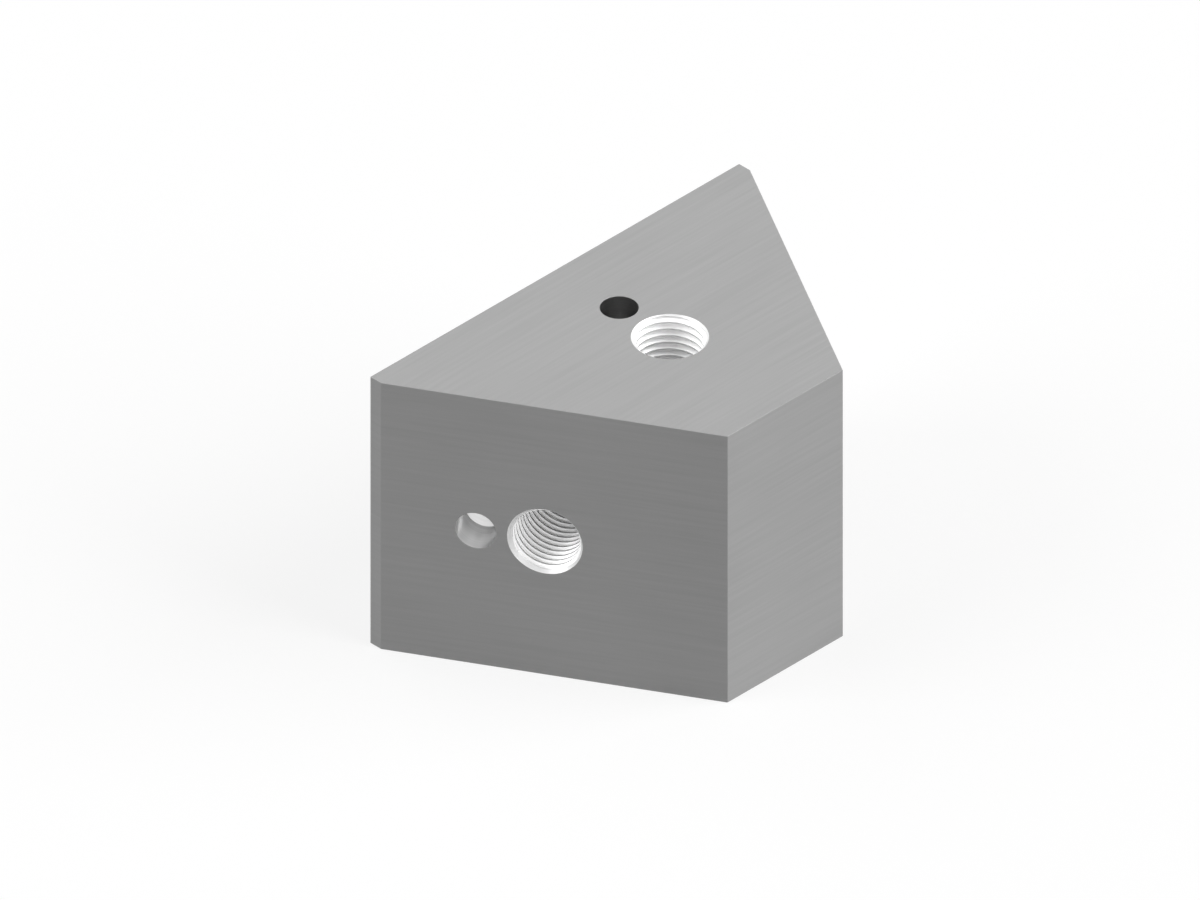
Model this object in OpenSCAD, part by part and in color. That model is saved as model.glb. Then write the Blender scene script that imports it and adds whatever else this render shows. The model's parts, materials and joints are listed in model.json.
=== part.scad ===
// Truss corner
//
// A solid aluminium block that joins three struts of a truss. One strut stands on the top face
// and one sits square on each slanted face. A screw in the tapped hole pulls the strut's end onto
// its face, and a pin in the smaller hole beside it keeps the strut from turning.
//
// Millimetres. X runs along the wide back face, Y from the narrow front face to the back face,
// and Z up. The origin is on the underside, in the middle of the block's length and depth.

/* [Block] */
// Width of the narrow front face
front_width = 25; // [22:1:60]
// Depth, from the front face to the back face
block_depth = 50; // [44:1:80]
// Height of the block
block_height = 50; // [44:1:100]
// Angle inside the block between the back face and each slanted face
side_angle = 60; // [45:1:62]
// Width of the flat at each end of the back face; 2.37 makes the block 80 long
end_flat = 2.37; // [1:0.01:8]

/* [Tapped holes] */
// Outside diameter of the strut screw's thread
thread_d = 12; // [8:0.5:13]
// Pitch of that thread
thread_pitch = 1.25; // [1:0.25:1.75]
// Length of the tap drill's straight hole, measured from the face
tap_drill_depth = 25; // [16:0.5:27]
// Angle of the countersink, whose mouth is as wide as the thread
countersink_angle = 90; // [80:5:120]

/* [Pin holes] */
// Distance from each tapped hole to the pin hole beside it, towards the back face
pin_spacing = 11; // [10.5:0.5:14]
// Diameter of the pin hole in the top face
top_pin_d = 6; // [3:0.5:6.5]
// Length of its straight wall
top_pin_depth = 12; // [5:0.5:16]
// Diameter of the pin hole in each slanted face
side_pin_d = 6.5; // [3:0.5:7]
// Length of its straight wall
side_pin_depth = 6; // [4:0.5:9]

/* [Places of the holes] */
// Distance from the front face to the tapped hole in the top face
top_hole_from_front = 25; // [14:1:27]
// Distance from a slanted face's front edge to its tapped hole, along the face
side_hole_from_front = 29; // [27:1:35]
// Height of the holes in the slanted faces above the underside
side_hole_height = 25; // [10:1:30]
// Angle of the drill point that every hole ends in
drill_point_angle = 118; // [90:1:140]

/* [Hidden] */
// Minor diameter of an internal metric thread, in pitches below its outside diameter
minor_per_pitch = 1.0825;
minor_d = thread_d - minor_per_pitch * thread_pitch;
// How far each cutter starts above the face that it cuts
cutter_lead = 1;
half_depth = block_depth / 2;
// Each slanted face runs from a corner of the front face back to the inner edge of an end flat
half_length = front_width / 2 + (block_depth - end_flat) / tan(side_angle);
$fn = 96;

// The block's outline seen from above
module plan_outline() {
    flat_y = half_depth - end_flat;
    polygon([
        [-half_length, half_depth],
        [-half_length, flat_y],
        [-front_width / 2, -half_depth],
        [front_width / 2, -half_depth],
        [half_length, flat_y],
        [half_length, half_depth]
    ]);
}

// Cutter for a blind drilled hole: a straight wall and the drill's point. The face is at z = 0.
module drilled_hole(d, depth) {
    point = d / 2 / tan(drill_point_angle / 2);
    rotate_extrude()
        polygon([
            [0, cutter_lead],
            [d / 2, cutter_lead],
            [d / 2, -depth],
            [0, -depth - point]
        ]);
}

// Cutter for the countersink round a hole of diameter hole_d. The face is at z = 0.
module countersink(mouth_d, hole_d) {
    slope = tan(countersink_angle / 2);
    sink = (mouth_d - hole_d) / 2 / slope;
    rotate_extrude()
        polygon([
            [0, cutter_lead],
            [mouth_d / 2 + cutter_lead * slope, cutter_lead],
            [hole_d / 2, -sink],
            [0, -sink]
        ]);
}

// The holes that one strut needs: a tapped hole at the origin and a pin hole along +X.
// The wall of the tapped hole is at the thread's minor diameter.
module strut_holes(pin_d, pin_depth) {
    drilled_hole(minor_d, tap_drill_depth);
    countersink(thread_d, minor_d);
    translate([pin_spacing, 0, 0])
        drilled_hole(pin_d, pin_depth);
}

// Puts a strut's holes on the top face, with the pin hole towards the back
module on_top_face() {
    translate([0, top_hole_from_front - half_depth, block_height])
        rotate([0, 0, 90])
            children();
}

// Puts a strut's holes on the slanted face at side = 1 (right) or -1 (left). Measured from the
// front face's corner, X runs along the slanted face towards the back and Z points out of it.
module on_slanted_face(side) {
    mirror([side < 0 ? 1 : 0, 0, 0])
        translate([front_width / 2, -half_depth, side_hole_height])
            rotate([90, 0, side_angle])
                translate([side_hole_from_front, 0, 0])
                    children();
}

module corner_block() {
    color("darkgray")
        difference() {
            linear_extrude(height = block_height)
                plan_outline();
            on_top_face()
                strut_holes(top_pin_d, top_pin_depth);
            for (side = [-1, 1])
                on_slanted_face(side)
                    strut_holes(side_pin_d, side_pin_depth);
        }
}

corner_block();
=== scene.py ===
# %% [markdown]
# Truss corner, a machined aluminium block
#
# The object is one solid block, cut from aluminium and milled flat on every side. Three struts of a
# truss are screwed to it, so its top and its two slanted faces each have a tapped hole, with a plain
# hole for a pin beside it. The shape is so plain that the small things have to carry the picture:
# edges that a file has broken, a real thread inside the tapped holes, and metal with the marks of
# its tools.
#
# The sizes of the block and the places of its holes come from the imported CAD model, so nothing is
# placed by eye. Only what is too fine for that model brings its own numbers: the thread's groove,
# the broken edges and the finishes.

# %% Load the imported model
import json

import bpy
import numpy as np
from mathutils import Matrix, Vector
from mathutils.geometry import delaunay_2d_cdt


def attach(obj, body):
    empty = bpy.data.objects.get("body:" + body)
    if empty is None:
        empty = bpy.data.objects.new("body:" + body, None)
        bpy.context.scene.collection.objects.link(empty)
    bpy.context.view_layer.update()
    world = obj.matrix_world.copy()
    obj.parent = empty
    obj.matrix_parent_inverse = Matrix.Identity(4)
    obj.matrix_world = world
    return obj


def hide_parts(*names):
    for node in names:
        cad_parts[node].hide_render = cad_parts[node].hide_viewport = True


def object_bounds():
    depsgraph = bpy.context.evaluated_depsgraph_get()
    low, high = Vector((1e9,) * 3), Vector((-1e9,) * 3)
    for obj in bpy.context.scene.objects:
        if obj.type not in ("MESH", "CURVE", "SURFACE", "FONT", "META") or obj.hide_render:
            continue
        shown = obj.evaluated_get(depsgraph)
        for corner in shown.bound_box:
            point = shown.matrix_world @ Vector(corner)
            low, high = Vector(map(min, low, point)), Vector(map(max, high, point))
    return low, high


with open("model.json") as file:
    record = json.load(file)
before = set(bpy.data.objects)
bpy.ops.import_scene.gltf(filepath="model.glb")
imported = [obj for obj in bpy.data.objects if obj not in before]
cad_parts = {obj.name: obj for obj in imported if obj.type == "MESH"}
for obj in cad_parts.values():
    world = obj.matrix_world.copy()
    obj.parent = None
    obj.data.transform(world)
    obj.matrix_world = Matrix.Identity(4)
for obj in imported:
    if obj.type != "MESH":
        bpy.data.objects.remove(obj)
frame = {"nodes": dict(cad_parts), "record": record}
cad_box = [list(corner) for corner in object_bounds()]
MM = 0.001
FULL_TURN = 2 * np.pi
BLOCK = "corner_block"
print("CAD box in mm:", [[round(x / MM, 2) for x in corner] for corner in cad_box])

# %% [markdown]
# The outline
#
# The block is a prism, so its outline from above and its height say all about its flat faces. The
# outline could be typed in again from the drawing, but then two files would hold the same sizes. It
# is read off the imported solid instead: the underside has no holes, so the points that lie on it are
# exactly the outline's corners.

# %% Read the outline
SAME_LEVEL = 0.01 * MM
MICROMETRE_PLACES = 6


def read_outline(node):
    """Corners of the node's underside as x and y, rounded to a micrometre, counter-clockwise from
    above. Sorting them by the angle about their middle works because the outline is convex."""
    mesh = frame["nodes"][node].data
    points = np.empty(3 * len(mesh.vertices), np.float32)
    mesh.vertices.foreach_get("co", points)
    points = points.reshape(-1, 3).astype(float)
    underside = points[points[:, 2] < points[:, 2].min() + SAME_LEVEL, :2]
    corners = np.unique(np.round(underside, MICROMETRE_PLACES), axis=0)
    from_middle = corners - corners.mean(axis=0)
    return corners[np.argsort(np.arctan2(from_middle[:, 1], from_middle[:, 0]))]


outline = read_outline(BLOCK)
height = cad_box[1][2]
print("outline in mm:", np.round(outline / MM, 2).tolist(), "height:", round(height / MM, 2))

# %% [markdown]
# The holes
#
# The record lists each place where another part joins on, and calls it a mount. A hole's mount holds
# the middle of its wall's outer end, the axis that points out of the hole, the wall's radius and the
# wall's length. That is all it takes to build a hole, so these numbers are read too.

# %% Read the holes
HOLE_KINDS = ("threaded_hole", "bore")

holes = [mount for mount in frame["record"]["mounts"] if mount["kind"] in HOLE_KINDS]
for hole in holes:
    print(hole["name"], hole["kind"], hole["dims"])

# %% [markdown]
# The camera
#
# The picture is an isometric drawing: a parallel view along the diagonal of a cube, in which the
# three axes look equally long. An orthographic camera gives just that. It could look at the block's
# middle and be shifted, but the shift would stay in every other view, so the camera itself moves
# sideways instead. The frame's width in millimetres sets how large the block appears.

# %% Place the camera
FRAME_WIDTH = 183.96 * MM
AZIMUTH, ELEVATION = np.radians(-45), np.arcsin(1 / np.sqrt(3))
AIM_RIGHT, AIM_UP = -10.72 * MM, 3.04 * MM
CAMERA_DISTANCE, FARTHEST_SEEN = 0.6, 10

back = Vector((
    np.sin(AZIMUTH) * np.cos(ELEVATION),
    -np.cos(AZIMUTH) * np.cos(ELEVATION),
    np.sin(ELEVATION),
))
right = Vector((np.cos(AZIMUTH), np.sin(AZIMUTH), 0))
up = back.cross(right)
aim = Vector((0, 0, height / 2)) + AIM_RIGHT * right + AIM_UP * up
camera_data = bpy.data.cameras.new("isometric")
camera_data.type = "ORTHO"
camera_data.ortho_scale = FRAME_WIDTH
camera_data.clip_end = FARTHEST_SEEN
camera = bpy.data.objects.new("isometric", camera_data)
camera.matrix_world = Matrix.Translation(aim + CAMERA_DISTANCE * back) @ Matrix((
    (right.x, up.x, back.x, 0),
    (right.y, up.y, back.y, 0),
    (right.z, up.z, back.z, 0),
    (0, 0, 0, 1),
))
bpy.context.scene.collection.objects.link(camera)
bpy.context.scene.camera = camera
print("camera at", [round(x, 3) for x in camera.location], "in metres")

# %% [markdown]
# Surfaces as patches
#
# The block's skin is put together from patches: flat faces, strips along the edges, and the walls of
# the holes. Boolean cuts would be shorter to write, but they are slow and fragile on a fine winding
# groove, and the faces that they make don't know the true surface that they stand for. Here each
# patch is a set of points worked out with numpy, and brings the normals of its true surface, so even
# a coarse mesh shades as the real curve.
#
# A patch is a dictionary: its points, its faces as four corner numbers (a triangle repeats one), and
# for each face's corners a normal and a place on the tool's path in millimetres. "laid" is where the
# corners lie when the patch is laid flat for the export, which is on the path unless a patch needs
# it otherwise. "finish" says which of the block's four metals each face shows.

# %% Make a patch from a grid of points
# The third finish, the reamed one, is the drilled metal with painted shade in darker greys.
FINISHES = ("milled_aluminium", "drilled_aluminium", "reamed_aluminium_painted_shade", "tapped_aluminium")
MILLED, DRILLED, REAMED_PAINTED_SHADE, TAPPED = range(len(FINISHES))


def grid_faces(rows, columns):
    """Corner numbers of every cell in a grid of points. With rows running up and columns running
    counter-clockwise round the block, the faces look outwards."""
    first = (np.arange(rows - 1)[:, None] * columns + np.arange(columns - 1)).ravel()
    return np.stack([first, first + 1, first + columns + 1, first + columns], axis=1)


def make_patch(points, faces, normals, path, finish):
    """points is n by 3. faces is f by 4. normals (f by 4 by 3) and path (f by 4 by 2) are given for
    each corner of each face, so that two faces may share a point and still meet at a crisp edge."""
    return {"points": points, "faces": faces, "normals": normals, "path": path, "laid": path,
            "finish": np.broadcast_to(finish, len(faces))}


print("cells of a grid of 3 by 3 points:", grid_faces(3, 3).tolist())

# %% [markdown]
# Broken edges, seen from above
#
# No machinist leaves an edge that cuts the hand: a file or a scraper takes off about a tenth of a
# millimetre. That thin round catches light, and without it a block looks like paper. Blender's Bevel
# modifier could add it, but it works best on clean faces and these have holes. The rounded block is
# also easy to work out: shrink the block by the radius, then let a small ball roll over it. Seen from
# above, the ball turns every corner into an arc, whose centre is a corner of the shrunk outline.

# %% Round the outline's corners
EDGE_RADIUS = 0.12 * MM
ARC_STEPS = 4


def side_directions(corners):
    """For each side from one corner to the next: its unit direction, and its outward normal, which
    is that direction turned a quarter clockwise."""
    along = np.roll(corners, -1, axis=0) - corners
    along /= np.linalg.norm(along, axis=1, keepdims=True)
    return along, np.stack([along[:, 1], -along[:, 0]], axis=1)


def shrink(corners, distance):
    """Corners of the outline moved in by the distance. With m and n the normals of the two sides
    that meet at a corner, it moves by distance times (m + n) / (1 + m.n)."""
    _, normal = side_directions(corners)
    before = np.roll(normal, 1, axis=0)
    reach = 1 + np.sum(before * normal, axis=1, keepdims=True)
    return corners - distance * (before + normal) / reach


def corner_arcs(corners, radius, steps):
    """Angle and centre of every point on the arcs, with the first one again at the end. An arc's
    angle runs in equal steps from the normal of the side before its corner to that of the side
    after it."""
    _, normal = side_directions(corners)
    before = np.roll(normal, 1, axis=0)
    start = np.arctan2(before[:, 1], before[:, 0])
    turn = (np.arctan2(normal[:, 1], normal[:, 0]) - start) % FULL_TURN
    around = (start[:, None] + turn[:, None] * np.linspace(0, 1, steps + 1)).ravel()
    centres = np.repeat(shrink(corners, radius), steps + 1, axis=0)
    return np.append(around, around[0]), np.vstack([centres, centres[:1]])


around, centres = corner_arcs(outline, EDGE_RADIUS, ARC_STEPS)
print("points round the outline:", len(around) - 1)

# %% [markdown]
# Broken edges, seen from the side
#
# Seen from the side, the ball's outline is a quarter circle at the underside and one at the top. Each
# point of the skin is an arc's centre, plus the radius along a direction that turns with both. One
# grid of points therefore holds all eighteen edges and all twelve corners at once, and the flat faces
# that it leaves open can take their corners from it.

# %% Roll the ball over the block
LAID_CELL = 1.5, 1.0


def rolled_skin(around, centres, top, radius, steps):
    """Points and directions as grids: a row for each level, a column for each point round the block.
    At the angle a round the block and the angle b above the horizon, the direction is
    (cos b cos a, cos b sin a, sin b). The point is the centre plus radius times the direction, and
    the centre lies one radius in from the underside or the top."""
    quarter = np.linspace(0, np.pi / 2, steps + 1)
    above = np.concatenate([-quarter[::-1], quarter])[:, None]
    level = np.repeat([radius, top - radius], steps + 1)[:, None]
    direction = np.stack(np.broadcast_arrays(
        np.cos(above) * np.cos(around), np.cos(above) * np.sin(around), np.sin(above)), axis=2)
    centre = np.stack(np.broadcast_arrays(centres[:, 0], centres[:, 1], level), axis=2)
    return centre + radius * direction, direction


def edge_strips(points, direction, steps):
    """The patch of the rounded edges: every cell of the grid except the flat sides, which lie between
    the two quarter circles and between two arcs. The tool's path is the way walked round the block,
    and the height. Laid flat, every cell gets LAID_CELL millimetres, because a strip of true width
    would be thinner than a pixel."""
    rows, columns = points.shape[:2]
    faces = grid_faces(rows, columns)
    row, column = np.divmod(np.arange(len(faces)), columns - 1)
    on_flat_side = (row == steps) & (column % (steps + 1) == steps)
    faces = faces[~on_flat_side]
    walked = np.linalg.norm(np.diff(points[steps], axis=0), axis=1).cumsum()
    path = np.stack(np.broadcast_arrays(np.append(0, walked), points[..., 2]), axis=2) / MM
    patch = make_patch(points.reshape(-1, 3), faces, direction.reshape(-1, 3)[faces],
                       path.reshape(-1, 2)[faces], MILLED)
    column_and_row = np.stack(np.divmod(np.arange(rows * columns), columns)[::-1], axis=1)
    patch["laid"] = (column_and_row * LAID_CELL)[faces]
    return patch


skin, skin_direction = rolled_skin(around, centres, height, EDGE_RADIUS, ARC_STEPS)
edge_patch = edge_strips(skin, skin_direction, ARC_STEPS)
print("skin grid:", skin.shape[:2], "edge faces:", len(edge_patch["faces"]))

# %% [markdown]
# The walls of the holes
#
# A hole is a surface of revolution: a profile of radius against depth, turned round the hole's axis.
# The profile could be drawn as a curve and spun, but a grid of angles and depths says the same thing
# in one formula and lets the radius depend on both, which a thread needs. More columns make a hole
# rounder, and the printed lines tell how far the middle of a flat facet still lies inside the circle.

# %% Turn a profile round a hole's axis
PIN_COLUMNS, TAPPED_COLUMNS = 73, 97
LEAST_FALL = 1e-9


def turned_wall(mouth, axes, radius, depth, finish):
    """radius and depth are grids: a row for each ring, a column for each angle from 0 to a full turn.
    A point is the mouth's centre, plus radius times (cos a, sin a) along the face's two axes, minus
    depth along the hole's axis. Where the wall's radius changes by s for each step down, its normal
    is towards the axis minus s times the hole's axis."""
    along, across, outward = axes
    angle = np.linspace(0, FULL_TURN, radius.shape[1])
    spoke = np.cos(angle)[:, None] * along + np.sin(angle)[:, None] * across
    points = mouth + radius[..., None] * spoke - depth[..., None] * outward
    faces = grid_faces(*radius.shape)
    spokes = np.broadcast_to(spoke, points.shape).reshape(-1, 3)[faces]
    ring_radius, ring_depth = radius.ravel()[faces], depth.ravel()[faces]
    widening = ring_radius[:, 2:].sum(axis=1) - ring_radius[:, :2].sum(axis=1)
    fall = ring_depth[:, 2:].sum(axis=1) - ring_depth[:, :2].sum(axis=1)
    slope = widening / np.maximum(fall, LEAST_FALL)
    normals = -spokes - slope[:, None, None] * outward
    normals /= np.linalg.norm(normals, axis=2, keepdims=True)
    path = np.stack(np.broadcast_arrays(angle * radius.max(), depth), axis=2) / MM
    return make_patch(points.reshape(-1, 3), faces, normals, path.reshape(-1, 2)[faces], finish)


def plain_rings(radii, depths, columns):
    """The two grids for a wall whose radius is the same all round: ring k has radii[k]."""
    shape = (len(radii), columns)
    return (np.broadcast_to(np.array(radii)[:, None], shape),
            np.broadcast_to(np.array(depths)[:, None], shape))


for width, columns in ((6, PIN_COLUMNS), (12, TAPPED_COLUMNS)):
    inside = width / 2 * (1 - np.cos(np.pi / (columns - 1)))
    print("facets of a", width, "mm hole lie inside the circle by", round(inside, 4), "mm")

# %% [markdown]
# Pin holes
#
# A pin hole is drilled: a straight wall, and at its end the cone that the drill's point leaves, with
# an angle of 118 degrees. Its rim is eased by a touch of a larger drill, so that the pin finds its
# way in. A cylinder with a cone on it would do from afar, but the profile costs only four rings.

# %% Drill a pin hole
DRILL_POINT = np.radians(118)
RIM_BREAK = 0.05 * MM
LAID_RING = 1.0


def drill_tip(radius):
    """Depth of the cone below the wall: the radius over the tangent of half the point's angle."""
    return radius / np.tan(DRILL_POINT / 2)


def pin_hole(mouth, axes, radius, length, wall_finish):
    """Four rings from the mouth down: the eased rim's two, the wall's lower end, and the tip. Laid
    flat, each ring lies LAID_RING millimetres further on, so that the thin rim gets its own pixels."""
    radii, depths = plain_rings(
        [radius + RIM_BREAK, radius, radius, 0],
        [0, RIM_BREAK, length, length + drill_tip(radius)],
        PIN_COLUMNS,
    )
    finish = np.repeat([MILLED, wall_finish, wall_finish], PIN_COLUMNS - 1)
    wall = turned_wall(mouth, axes, radii, depths, finish)
    ring = wall["faces"] // PIN_COLUMNS
    wall["laid"] = wall["path"] + ring[..., None] * (0, LAID_RING)
    return wall


print("the point of a 6 mm drill reaches", round(drill_tip(3), 2), "mm further than the wall")

# %% [markdown]
# The thread's profile
#
# A tapped hole is drilled to the thread's minor diameter and countersunk, and then a tap cuts a
# groove into its wall, with a 60 degree V for its section. The groove's bottom is a flat of an eighth
# of the pitch, and what is left of the wall between two turns is a crest of a quarter of the pitch. A
# rounded wave would be quicker to write, but these flats are what makes the light in a thread look
# crisp, so the rows of points lie exactly on their edges.

# %% Draw one pitch of the thread
PITCH = 1.25 * MM
HALF_ANGLE = np.radians(30)
ROOT_FLAT, CREST_FLAT = 1 / 8, 1 / 4
FLANK_ROWS = 4


def thread_radius(phase, minor, major):
    """Radius at a phase from 0 to 1 within one pitch, with the groove's middle at a half. It is the
    major radius on the flat root, falls away from it along the 30 degree flanks by the distance
    over the tangent of 30 degrees, and stops at the minor radius, on the crest."""
    from_groove = np.abs(phase - 0.5) * PITCH
    return np.clip(major - (from_groove - ROOT_FLAT * PITCH / 2) / np.tan(HALF_ANGLE), minor, major)


def thread_phases():
    """Phases of the rows in one pitch: on each edge of root and crest, and evenly down the flanks."""
    root_start, root_end = 0.5 - ROOT_FLAT / 2, 0.5 + ROOT_FLAT / 2
    crest_start, crest_end = 1 - CREST_FLAT / 2, CREST_FLAT / 2
    up_flank = np.linspace(crest_end, root_start, FLANK_ROWS + 1)
    down_flank = np.linspace(root_end, crest_start, FLANK_ROWS + 1)
    return np.concatenate([[0], up_flank, down_flank])


groove_depth = (1 - ROOT_FLAT - CREST_FLAT) / 2 * PITCH / np.tan(HALF_ANGLE)
print("groove depth in mm:", round(groove_depth / MM, 3), "and row by row:",
      np.round(thread_radius(thread_phases(), 0, groove_depth) / MM, 2).tolist())

# %% [markdown]
# The thread's groove
#
# The tap cuts one groove that winds down the wall. It could be faked with a stack of rings or with
# bump, but then it would have no start at the mouth and no shadow. Here the radius is a function of
# angle and depth. Walking once round the hole moves the pattern by one pitch, and for a right-hand
# thread it sinks when walking clockwise.
#
# The grid winds along with the groove, so no step shows. Rows that would start above the face are
# pressed flat on it, and so are those past the thread's end. The points that then coincide are welded
# later, which leaves a clean ring at each end.

# %% Wind the thread down a hole
THREAD_LENGTH = 20 * MM
RUN_OUT = 2 * PITCH


def wound_grid():
    """Depth and phase as grids. Each row sinks by its phase in pitches, and rises by one pitch over a
    full turn counter-clockwise. The phase is the depth in pitches plus the share of the turn, less
    the whole pitches."""
    angle = np.linspace(0, FULL_TURN, TAPPED_COLUMNS)
    turns = int(np.ceil(THREAD_LENGTH / PITCH)) + 2
    row_depth = (np.arange(turns)[:, None] + thread_phases()).ravel() * PITCH
    depth = np.clip(row_depth[:, None] - PITCH * angle / FULL_TURN, 0, THREAD_LENGTH)
    return depth, (depth / PITCH + angle / FULL_TURN) % 1


def tapped_hole(mouth, axes, radius, sink, length):
    """The wall is at the minor radius and starts at the countersink's depth. The countersink opens
    at 45 degrees, so its mouth is as much wider as it is deep, which is the thread's major radius.
    The surface's radius is the larger of countersink and thread. Over the last turns the tap's
    tapered lead makes the groove shallower, down to the plain wall of the tap drill."""
    major = radius + sink
    depth, phase = wound_grid()
    strength = np.clip((THREAD_LENGTH - depth) / RUN_OUT, 0, 1)
    groove = radius + strength * (thread_radius(phase, radius, major) - radius)
    thread = turned_wall(mouth, axes, np.maximum(groove, major - depth), depth, TAPPED)
    end = sink + length
    radii, depths = plain_rings(
        [radius, radius, 0],
        [THREAD_LENGTH, end, end + drill_tip(radius)],
        TAPPED_COLUMNS,
    )
    return [thread, turned_wall(mouth, axes, radii, depths, DRILLED)]


print("thread grid, rows and columns:", wound_grid()[0].shape)

# %% [markdown]
# The flat faces
#
# The rolled edges leave eight faces open: six sides, the top and the underside. Each is bounded by
# points of the skin's grid, so what fills it fits without a gap. The corners could be worked out from
# the outline again, but taking them from the grid makes sure that they are the very same points.

# %% Find the flat faces
def open_faces(corners, points, steps):
    """Corners and axes of each flat face. A side's corners are where the arcs end, at the lowest and
    the highest level of the straight wall. The axes are the direction along the tool's path, the one
    across it, and the outward normal."""
    stride = steps + 1
    low, high = points[steps], points[steps + 1]
    along, normal = side_directions(corners)
    x_axis, y_axis, z_axis = np.eye(3)
    found = []
    for k in range(len(corners)):
        start, end = k * stride + steps, (k + 1) * stride
        side = np.array([low[start], low[end], high[end], high[start]])
        found.append((side, (np.append(along[k], 0), z_axis, np.append(normal[k], 0))))
    found.append((points[-1, :-1:stride], (x_axis, y_axis, z_axis)))
    found.append((points[0, :-1:stride], (x_axis, -y_axis, -z_axis)))
    return found


flat_faces = open_faces(outline, skin, ARC_STEPS)
print("flat faces:", len(flat_faces), "with corners:", [len(corners) for corners, _ in flat_faces])

# %% [markdown]
# Flat faces with round holes
#
# A flat face is a polygon with circles taken out. Blender has no face with a hole, so it has to be
# cut into triangles that use the rim's own points, or the wall wouldn't join on to it. Constrained
# Delaunay triangulation does that: it is given the outline and the circles as edges that must stay.
# It fills the holes too, but a triangle with all three corners on one circle can only lie inside it,
# so those are easy to drop.

# %% Triangulate a flat face
WITHIN_EDGES = 1
MEETING_DISTANCE = 1e-5


def triangulate(places, owner):
    """Triangles between points on a plane, in millimetres. owner tells which loop each point belongs
    to: 0 is the outline, and each hole's rim comes after it. WITHIN_EDGES asks for what the edges
    enclose, and points closer than MEETING_DISTANCE would count as one. A triangle with all its
    corners on one rim lies in that hole and is left out."""
    number = np.arange(len(places))
    following = np.concatenate([np.roll(number[owner == loop], -1) for loop in np.unique(owner)])
    edges = np.stack([number, following], axis=1).tolist()
    _, _, triangles, origin, _, _ = delaunay_2d_cdt(
        [Vector(place) for place in places], edges, [], WITHIN_EDGES, MEETING_DISTANCE)
    source = np.array([numbers[0] for numbers in origin])
    triangles = source[np.array(triangles)]
    on_one_loop = (owner[triangles] == owner[triangles[:, :1]]).all(axis=1)
    return triangles[~(on_one_loop & (owner[triangles[:, 0]] > 0))]


def flat_face(corners, axes, rims):
    """The patch of one flat face. corners and each rim are rows of x, y, z on one plane. A point's
    place on the plane is its distance along the first two axes."""
    along, across, outward = axes
    loops = [corners, *rims]
    points = np.vstack(loops)
    owner = np.repeat(np.arange(len(loops)), [len(loop) for loop in loops])
    from_corner = points - corners[0]
    triangles = triangulate(np.stack([from_corner @ along, from_corner @ across], axis=1) / MM, owner)
    faces = np.hstack([triangles, triangles[:, 2:]])
    normals = np.broadcast_to(outward, (len(faces), 4, 3))
    path = np.stack([points @ along, points @ across], axis=1) / MM
    return make_patch(points, faces, normals, path[faces], MILLED)


print("triangles of the underside:", len(flat_face(*flat_faces[-1], [])["faces"]))

# %% [markdown]
# Put the block together
#
# Each hole belongs to the face whose outward normal is the hole's axis, and its mouth's centre is the
# point where that axis meets the face. Finding the face by its direction is simpler than naming it
# for every hole, and it still holds when a size in the CAD model changes.

# %% Gather the patches of every face
SAME_DIRECTION = 0.999  # the least cosine between two directions that count as one


def hole_patches(hole, corners, axes):
    """The rim's points and the wall's patches of one hole. The mount's point lies under the face by
    the countersink's depth, which is 0 for a pin hole. The rim is the wall's first ring, without the
    point that closes it."""
    on_axis = np.array(hole["pos_m"], float)
    sink = (corners[0] - on_axis) @ axes[2]
    mouth = on_axis + sink * axes[2]
    radius, length = hole["dims"]["r_mm"] * MM, hole["dims"]["length_mm"] * MM
    if hole["kind"] == "threaded_hole":
        columns = TAPPED_COLUMNS
        walls = tapped_hole(mouth, axes, radius, sink, length)
    else:
        columns = PIN_COLUMNS
        walls = [pin_hole(mouth, axes, radius, length, REAMED_PAINTED_SHADE if hole["fit"] == "press" else DRILLED)]
    return walls[0]["points"][:columns - 1], walls


patches = [edge_patch]
for corners, axes in flat_faces:
    here = [hole_patches(hole, corners, axes) for hole in holes
            if np.dot(hole["axis"], axes[2]) > SAME_DIRECTION]
    patches.append(flat_face(corners, axes, [rim for rim, _ in here]))
    for _, walls in here:
        patches += walls
    print("face looking", np.round(axes[2], 3).tolist(), "has", len(here), "holes")

# %% [markdown]
# A flat map for the export
#
# For the export, the finishes are painted into images, and a flat map of the skin says which pixel
# belongs to which spot of the block. Blender can make such a map by itself, but here it throws the
# thread's flanks onto the top face, and bright metal then shows beside the hole. The patches know
# how they lie flat: a wall unrolls, and a face is flat as it is. So each patch gets a rectangle of
# its own, and these are set on shelves, the tallest first, in the smallest square that holds them.

# %% Set the patches on shelves
LAID_GAP = 1.0
GROWTH = 1.002


def shelves(sizes, side):
    """Lower left corners of rectangles set side by side on shelves of this width, the tallest first,
    and the height of all the shelves."""
    corners = np.zeros_like(sizes)
    x = y = shelf = 0.0
    for k in np.argsort(-sizes[:, 1], kind="stable"):
        if x + sizes[k, 0] > side:
            x, y, shelf = 0.0, y + shelf, 0.0
        corners[k] = x, y
        x += sizes[k, 0]
        shelf = max(shelf, sizes[k, 1])
    return corners, y + shelf


def lay_out(patches):
    """Moves each patch's laid places to its rectangle and gives them as shares of the square's side,
    which grows from the root of the rectangles' area until the shelves fit."""
    low = [patch["laid"].min(axis=(0, 1)) for patch in patches]
    sizes = np.array([np.ptp(patch["laid"], axis=(0, 1)) for patch in patches]) + LAID_GAP
    side = np.sqrt(sizes.prod(axis=1).sum())
    corners, rise = shelves(sizes, side)
    while rise > side:
        side *= GROWTH
        corners, rise = shelves(sizes, side)
    for patch, start, corner in zip(patches, low, corners):
        patch["laid"] = (patch["laid"] - start + corner + LAID_GAP / 2) / side
    return side


print("rectangles:", len(patches), "in a square of", round(lay_out(patches), 1), "mm")

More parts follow.
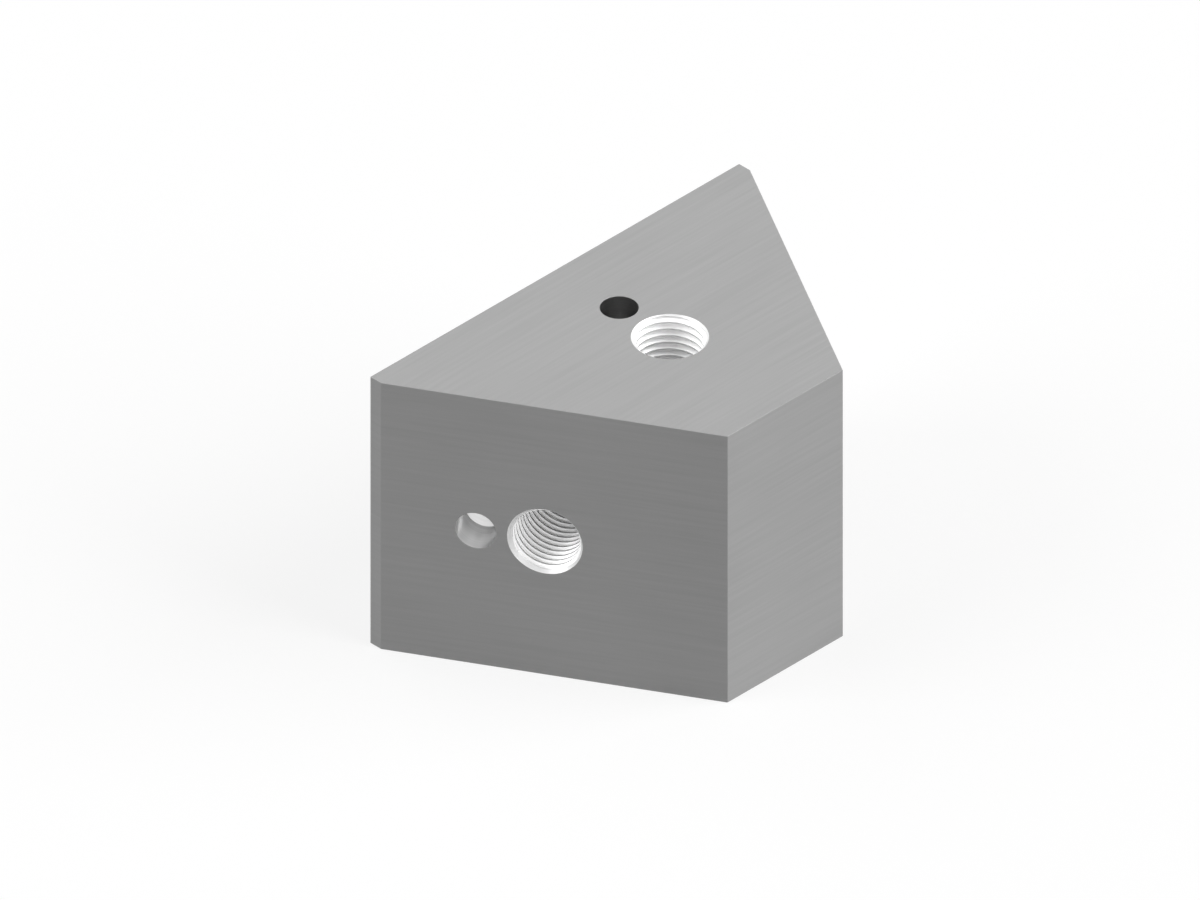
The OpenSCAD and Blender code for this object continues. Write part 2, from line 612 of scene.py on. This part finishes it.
# %% [markdown]
# Weld the patches
#
# Patches that meet share the same places but not yet the same points. Points that agree to a tenth
# of a micrometre become one. A face that loses a corner by this becomes a triangle, and one that
# collapses to a line is dropped. Blender can merge by distance too, but only once the mesh exists,
# and then the normals, which it stores relative to the faces, would be disturbed.

# %% Join the patches and merge their points
WELD_STEP = 0.0001 * MM


def join(patches):
    """One patch out of many: their arrays one after the other, with each patch's corner numbers
    moved on by the number of points before it."""
    counts = [len(patch["points"]) for patch in patches]
    shift = np.repeat(np.cumsum(counts) - counts, [len(patch["faces"]) for patch in patches])
    whole = {key: np.concatenate([patch[key] for patch in patches]) for key in patches[0]}
    whole["faces"] = whole["faces"] + shift[:, None]
    return whole


def merge_points(points, faces):
    """Rounds every point to the weld step and numbers equal ones alike. Gives the first point of each
    place, and the faces in the new numbers."""
    steps = np.round(points / WELD_STEP).astype(np.int64)
    _, first, number = np.unique(steps, axis=0, return_index=True, return_inverse=True)
    return points[first], number.ravel()[faces]


def lasting_corners(faces):
    """True for each corner that stays: it differs from the corner before it, and its face still has
    three or more such corners."""
    differs = faces != np.roll(faces, 1, axis=1)
    return differs & (differs.sum(axis=1, keepdims=True) >= 3)


whole = join(patches)
merged_points, merged_faces = merge_points(whole["points"], whole["faces"])
lasting = lasting_corners(merged_faces)
print("points before and after:", len(whole["points"]), len(merged_points),
      "faces before and after:", len(whole["faces"]), int(lasting.any(axis=1).sum()))

# %% [markdown]
# Fill the mesh
#
# The arrays go into Blender whole. The tool's path and the flat map become its two UV maps, and the
# export takes the one that is named OFBake as it is. In a closed skin each edge is used by exactly
# two faces, which is worth counting, because a leak that no eye can see still spoils a volume or a
# print.

# %% Build the block's mesh
TOOL_PATH, FLAT_MAP = "tool_path", "OFBake"


def fill_mesh(name, points, faces, lasting, whole):
    """A mesh from the lasting corners, face by face. A point that no corner uses is left out."""
    used, corners = np.unique(faces[lasting], return_inverse=True)
    sizes = lasting.sum(axis=1)
    finish = whole["finish"][sizes > 0]
    sizes = sizes[sizes > 0]
    mesh = bpy.data.meshes.new(name)
    mesh.vertices.add(len(used))
    mesh.vertices.foreach_set("co", points[used].astype(np.float32).ravel())
    mesh.loops.add(len(corners))
    mesh.loops.foreach_set("vertex_index", corners.ravel().astype(np.int32))
    mesh.polygons.add(len(sizes))
    mesh.polygons.foreach_set("loop_start", (np.cumsum(sizes) - sizes).astype(np.int32))
    mesh.polygons.foreach_set("material_index", finish.astype(np.int32))
    mesh.update(calc_edges=True)
    for name_of_map, places in ((TOOL_PATH, whole["path"]), (FLAT_MAP, whole["laid"])):
        layer = mesh.uv_layers.new(name=name_of_map)
        layer.data.foreach_set("uv", places[lasting].astype(np.float32).ravel())
    mesh.validate()
    mesh.normals_split_custom_set(whole["normals"][lasting].tolist())
    return mesh


block_mesh = fill_mesh("milled_block", merged_points, merged_faces, lasting, whole)
block = bpy.data.objects.new("milled_block", block_mesh)
bpy.context.scene.collection.objects.link(block)
edge_of_loop = np.empty(len(block_mesh.loops), np.int32)
block_mesh.loops.foreach_get("edge_index", edge_of_loop)
uses = np.bincount(edge_of_loop, minlength=len(block_mesh.edges))
print("points:", len(block_mesh.vertices), "faces:", len(block_mesh.polygons),
      "edges not used twice:", int((uses != 2).sum()))

# %% [markdown]
# Shader maths as Python
#
# A material is a graph of nodes. Written node by node it hides its own formula, so a small class
# wraps a socket and turns + - * into Math nodes. Every other node comes from one method, which
# takes its type, its settings and what goes into its sockets. A world has a node tree just as a
# material has, so the same class fills both.

# %% Wrap a socket
class Signal:
    """A number that varies over the surface. Arithmetic on it adds Math nodes to its node tree."""

    def __init__(self, finish, socket):
        self.finish = finish
        self.socket = socket

    def combine(self, operation, first, second):
        """A Math node on two values, each a Signal or a plain number."""
        return self.finish.node("ShaderNodeMath", {"operation": operation}, {0: first, 1: second})

    def __add__(self, other):
        return self.combine("ADD", self, other)

    def __sub__(self, other):
        return self.combine("SUBTRACT", self, other)

    def __mul__(self, other):
        return self.combine("MULTIPLY", self, other)

    def __rsub__(self, other):
        return self.combine("SUBTRACT", other, self)

    __radd__ = __add__
    __rmul__ = __mul__


class Finish:
    """The node tree of a material or a world, emptied and ready to fill."""

    def __init__(self, owner):
        owner.use_nodes = True
        self.name = owner.name
        self.tree = owner.node_tree
        self.tree.nodes.clear()

    def node(self, kind, settings=None, inputs=None, output=0):
        """Adds a node of this kind, sets its settings, then gives each socket its value or link.
        Gives back one of its outputs, by number or name. A tree's last node has none."""
        made = self.tree.nodes.new(kind)
        for setting, value in (settings or {}).items():
            setattr(made, setting, value)
        for socket, value in (inputs or {}).items():
            if isinstance(value, Signal):
                self.tree.links.new(value.socket, made.inputs[socket])
            else:
                made.inputs[socket].default_value = value
        return Signal(self, made.outputs[output]) if len(made.outputs) else None


for name in FINISHES:
    block_mesh.materials.append(bpy.data.materials.new(name))
milled, drilled, reamed_painted_shade, tapped = [Finish(material) for material in block_mesh.materials]
print("finishes to fill:", [material.name for material in block_mesh.materials])

# %% [markdown]
# Tool marks
#
# Every cutting tool leaves marks that run along its path: straight streaks on a milled face, rings in
# a hole. An image of scratches would show where it repeats, so noise is stretched along the path
# instead: it changes slowly along it and quickly across it. Each metal mixes two greys by such noise,
# and lets it raise the surface by at most a hundredth of a millimetre.

# %% Stretch noise along the tool's path
FINER_SHARE = 0.6
COLOUR_A, COLOUR_B, COLOUR_RESULT = 6, 7, 2


def grey(level):
    """An opaque colour with red, green and blue alike."""
    return (level, level, level, 1)


def stretched_noise(finish, along, across, detail):
    """Noise on the tool's path, with this many changes in a millimetre along it and across it, and
    this many finer layers, each FINER_SHARE as strong as the one before."""
    place = finish.node("ShaderNodeUVMap", {"uv_map": TOOL_PATH})
    scaled = finish.node("ShaderNodeMapping", {"vector_type": "POINT"},
                         {"Vector": place, "Scale": (along, across, 1)})
    return finish.node("ShaderNodeTexNoise", {"noise_dimensions": "2D"},
                       {"Vector": scaled, "Scale": 1.0, "Detail": detail, "Roughness": FINER_SHARE})


def metal(finish, greys, tint, roughness, metallic, marks, mark_depth, mark_strength):
    """Fills a finish. Its colour runs between the two greys by tint, and the marks are raised by a
    bump, mark_depth metres high. The Mix node's colour sockets go by their numbers, because its
    sockets for numbers and vectors have the same names."""
    colour = finish.node("ShaderNodeMix", {"data_type": "RGBA"}, {
        "Factor": tint, COLOUR_A: grey(greys[0]), COLOUR_B: grey(greys[1])}, COLOUR_RESULT)
    normal = finish.node("ShaderNodeBump", {}, {
        "Strength": mark_strength, "Distance": mark_depth, "Height": marks})
    shader = finish.node("ShaderNodeBsdfPrincipled", {}, {
        "Base Color": colour, "Metallic": metallic, "Roughness": roughness, "Normal": normal})
    finish.node("ShaderNodeOutputMaterial", {}, {"Surface": shader})
    print(finish.name, "runs from grey", greys[0], "to", greys[1], "and has",
          len(finish.tree.nodes), "nodes")


print("a grey of one half as a colour:", grey(0.5))


# %% [markdown]
# Milled aluminium
#
# Polished aluminium mirrors the room, and a freshly milled face still does so in streaks. This block
# is an even, soft grey on every side, as one is that was etched and anodised after the milling: the
# light spreads, and the colour hardly varies. A fully metallic shader would mirror the white room
# and show all sides alike, so most of the grey is diffuse here and takes its tone from the lamps. A
# small share is metallic, and gives the faces their soft sheen.
#
# What remains of the cutter is a very fine lay: streaks less than a millimetre wide and some 25 mm
# long. Between them lies a grain as fine as dust, and faint clouds break up the larger areas.

# %% Mix the milled metal
def fill_milled(finish):
    """The colour's tint is half lay, a quarter grain and a quarter cloud. The roughness is 0.56 plus
    0.12 times the grain, and the marks are four fifths lay and one fifth grain."""
    lay = stretched_noise(finish, 0.04, 1.5, 3.0)
    grain = stretched_noise(finish, 9.0, 9.0, 1.0)
    cloud = stretched_noise(finish, 0.03, 0.05, 2.0)
    metal(finish, greys=(0.33, 0.46), tint=0.5 * lay + 0.25 * grain + 0.25 * cloud,
          roughness=0.56 + 0.12 * grain, metallic=0.15,
          marks=0.8 * lay + 0.2 * grain, mark_depth=0.01 * MM, mark_strength=0.6)


fill_milled(milled)

# %% [markdown]
# The metal of the pin holes
#
# Inside a hole the metal is bare and bright, with rings that the drill's lips cut. The pin in the top
# is a press fit, so that hole is reamed to size after it is drilled. Its wall looks much darker than
# the others, and that darkness is painted shade: the same metal gets two darker greys, while its
# marks stay the same.

# %% Mix the drilled metal, and the reamed metal with painted shade
def fill_bored(finish, greys):
    """The rings give the tint, the marks, and with 0.25 plus a tenth of them the roughness."""
    rings = stretched_noise(finish, 0.05, 3.0, 3.0)
    metal(finish, greys=greys, tint=rings, roughness=0.25 + 0.1 * rings, metallic=1.0,
          marks=rings, mark_depth=0.004 * MM, mark_strength=0.5)


fill_bored(drilled, (0.68, 0.88))
# The reamed wall's darker greys are painted shade for the inside of its hole.
fill_bored(reamed_painted_shade, (0.42, 0.62))

# %% [markdown]
# The metal of the tapped holes
#
# The tap's cutting edges leave the brightest metal of all. The countersink at the mouth is cut by
# another tool, which leaves it duller and a little darker. It could be a finish of its own, but then
# its lower edge would be a jagged line along the faces of the grid, where the groove cuts into it.
# The depth on the tool's path tells the two apart, and fades the one into the other.

# %% Mix the tapped metal
COUNTERSINK_END, THREAD_START = 0.55, 0.7


def fill_tapped(finish):
    """sunk is 1 down to COUNTERSINK_END millimetres, 0 below THREAD_START and smooth in between. It
    makes the colour darker, the roughness a touch lower and the metal only three tenths metallic."""
    rings = stretched_noise(finish, 0.1, 6.0, 2.0)
    place = finish.node("ShaderNodeUVMap", {"uv_map": TOOL_PATH})
    depth = finish.node("ShaderNodeSeparateXYZ", {}, {"Vector": place}, "Y")
    sunk = finish.node("ShaderNodeMapRange", {"interpolation_type": "SMOOTHSTEP"}, {
        "Value": depth, "From Min": COUNTERSINK_END, "From Max": THREAD_START,
        "To Min": 1.0, "To Max": 0.0})
    metal(finish, greys=(0.9, 1.0), tint=0.6 + 0.4 * rings - 0.6 * sunk,
          roughness=0.42 + 0.1 * rings - 0.05 * sunk, metallic=1 - 0.7 * sunk,
          marks=rings, mark_depth=0.004 * MM, mark_strength=0.4)


fill_tapped(tapped)

# %% [markdown]
# The room
#
# The picture has a pure white background and hardly any light from below, so that the block's sides
# differ clearly. A room that is really white would light every side alike. This one is white to the
# camera and in reflections, which is what bright metal shows, and dim for everything else. Light Path
# tells a shader what kind of ray is asking.

# %% Light the room
AMBIENT = 0.17


def sees_white(finish):
    """1 for a ray from the camera, and for one that metal or glass sends on, and otherwise 0."""
    camera_ray, glossy_ray, clear_ray = [
        finish.node("ShaderNodeLightPath", {}, {}, kind)
        for kind in ("Is Camera Ray", "Is Glossy Ray", "Is Transmission Ray")]
    either = finish.node("ShaderNodeMath", {"operation": "MAXIMUM"}, {0: camera_ray, 1: glossy_ray})
    return finish.node("ShaderNodeMath", {"operation": "MAXIMUM"}, {0: either, 1: clear_ray})


world = bpy.data.worlds.new("white_room")
bpy.context.scene.world = world
room = Finish(world)
brightness = AMBIENT + (1 - AMBIENT) * sees_white(room)
background = room.node("ShaderNodeBackground", {}, {"Color": grey(1), "Strength": brightness})
room.node("ShaderNodeOutputWorld", {}, {"Surface": background})
print("room: 1 to the camera and in reflections,", AMBIENT, "to everything else")

# %% [markdown]
# The floor
#
# The block stands on a large pale sheet. A real white floor would throw half of the light that falls
# on it back up and wash out the block's sides, so this one is made as the room is: white to the
# camera and in reflections, but much darker to light that bounces off it.
#
# A floor that only glows would show no shadow, and the block would float. Most of what the camera
# sees is therefore a glow, and the rest is a dark paper that the lamps light: where they reach it the
# two add up to white, and under the block's shadow a little is missing. From below the sheet is
# clear, or a view from there would show nothing but floor.

# %% Lay the floor
FLOOR_SIZE = 4.0
FLOOR_GAP = 0.01 * MM
FLOOR_GLOW = 0.78
FLOOR_PAPER = 0.23
FLOOR_BOUNCE = 0.25


def fill_floor(finish):
    """Where a ray sees white, it sees the glow plus the lit paper. Every other ray sees a plain dim
    floor. The floor's back is clear to all of them."""
    glow = finish.node("ShaderNodeEmission", {}, {"Color": grey(1), "Strength": FLOOR_GLOW})
    paper = finish.node("ShaderNodeBsdfDiffuse", {}, {"Color": grey(FLOOR_PAPER)})
    pale = finish.node("ShaderNodeAddShader", {}, {0: paper, 1: glow})
    dim = finish.node("ShaderNodeBsdfDiffuse", {}, {"Color": grey(FLOOR_BOUNCE)})
    front = finish.node("ShaderNodeMixShader", {}, {0: sees_white(finish), 1: dim, 2: pale})
    clear = finish.node("ShaderNodeBsdfTransparent")
    is_back = finish.node("ShaderNodeNewGeometry", {}, {}, "Backfacing")
    shader = finish.node("ShaderNodeMixShader", {}, {0: is_back, 1: front, 2: clear})
    finish.node("ShaderNodeOutputMaterial", {}, {"Surface": shader})


half = FLOOR_SIZE / 2
level = cad_box[0][2] - FLOOR_GAP
floor_mesh = bpy.data.meshes.new("floor")
floor_mesh.from_pydata(
    [(-half, -half, level), (half, -half, level), (half, half, level), (-half, half, level)],
    [], [(0, 1, 2, 3)])
floor_mesh.materials.append(bpy.data.materials.new("white_floor"))
fill_floor(Finish(floor_mesh.materials[0]))
floor = bpy.data.objects.new("floor", floor_mesh)
bpy.context.scene.collection.objects.link(floor)
print("floor:", FLOOR_SIZE, "m wide,", round(-level / MM, 3), "mm under the block")

# %% [markdown]
# The lamps
#
# Three far lamps give the block its tones, since the dim room alone would make all sides alike. The
# key lamp, in front and to the right, lights the narrow front face and the right slanted one. The
# side lamp, on the left and behind, reaches the left slanted face and the flat beside it, which turn
# away from the key. The rim lamp, high up behind, is there for the back face. All three reach the
# top, and all are wide: a small lamp would flash in the milled top from one side and leave it dull
# from the others.

# %% Hang the lamps
def lamp(name, towards, level, softness):
    """A far lamp. towards points at it, level is how bright a white face that looks at it becomes,
    and softness is the angle in degrees that it fills in the sky, which blurs its shadows. A sun's
    strength is pi times that level."""
    data = bpy.data.lights.new(name, "SUN")
    data.energy = level * np.pi
    data.angle = np.radians(softness)
    made = bpy.data.objects.new(name, data)
    made.rotation_mode = "QUATERNION"
    made.rotation_quaternion = Vector(towards).to_track_quat("Z", "Y")
    bpy.context.scene.collection.objects.link(made)
    rise = np.degrees(np.arcsin(Vector(towards).normalized().z))
    print(name, "lamp:", round(rise), "degrees above the horizon, level", level)


lamp("key", (0.42, -0.58, 0.42), 0.84, 60)
lamp("side", (-0.75, 0.35, 0.55), 0.36, 40)
lamp("rim", (-0.10, 0.70, 0.70), 0.22, 60)

# %% [markdown]
# Light in the depth of a hole
#
# Between the bright walls of a deep hole, light is mirrored on many times before it leaves. Cycles
# drops a ray after four such bounces unless it is told otherwise, and then the lower turns of a
# thread look sooty. More light in the room would hide that, but it would also bleach the block. The
# Standard view shows each grey as it is worked out, with nothing added for effect.

# %% Follow the light further
GLOSSY_BOUNCES = 12

scene = bpy.context.scene
scene.cycles.glossy_bounces = GLOSSY_BOUNCES
scene.view_settings.view_transform = "Standard"
print("mirror-like bounces:", scene.cycles.glossy_bounces, "view:", scene.view_settings.view_transform)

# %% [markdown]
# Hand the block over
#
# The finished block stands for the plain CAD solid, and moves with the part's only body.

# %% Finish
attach(block, "root")
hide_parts(BLOCK)
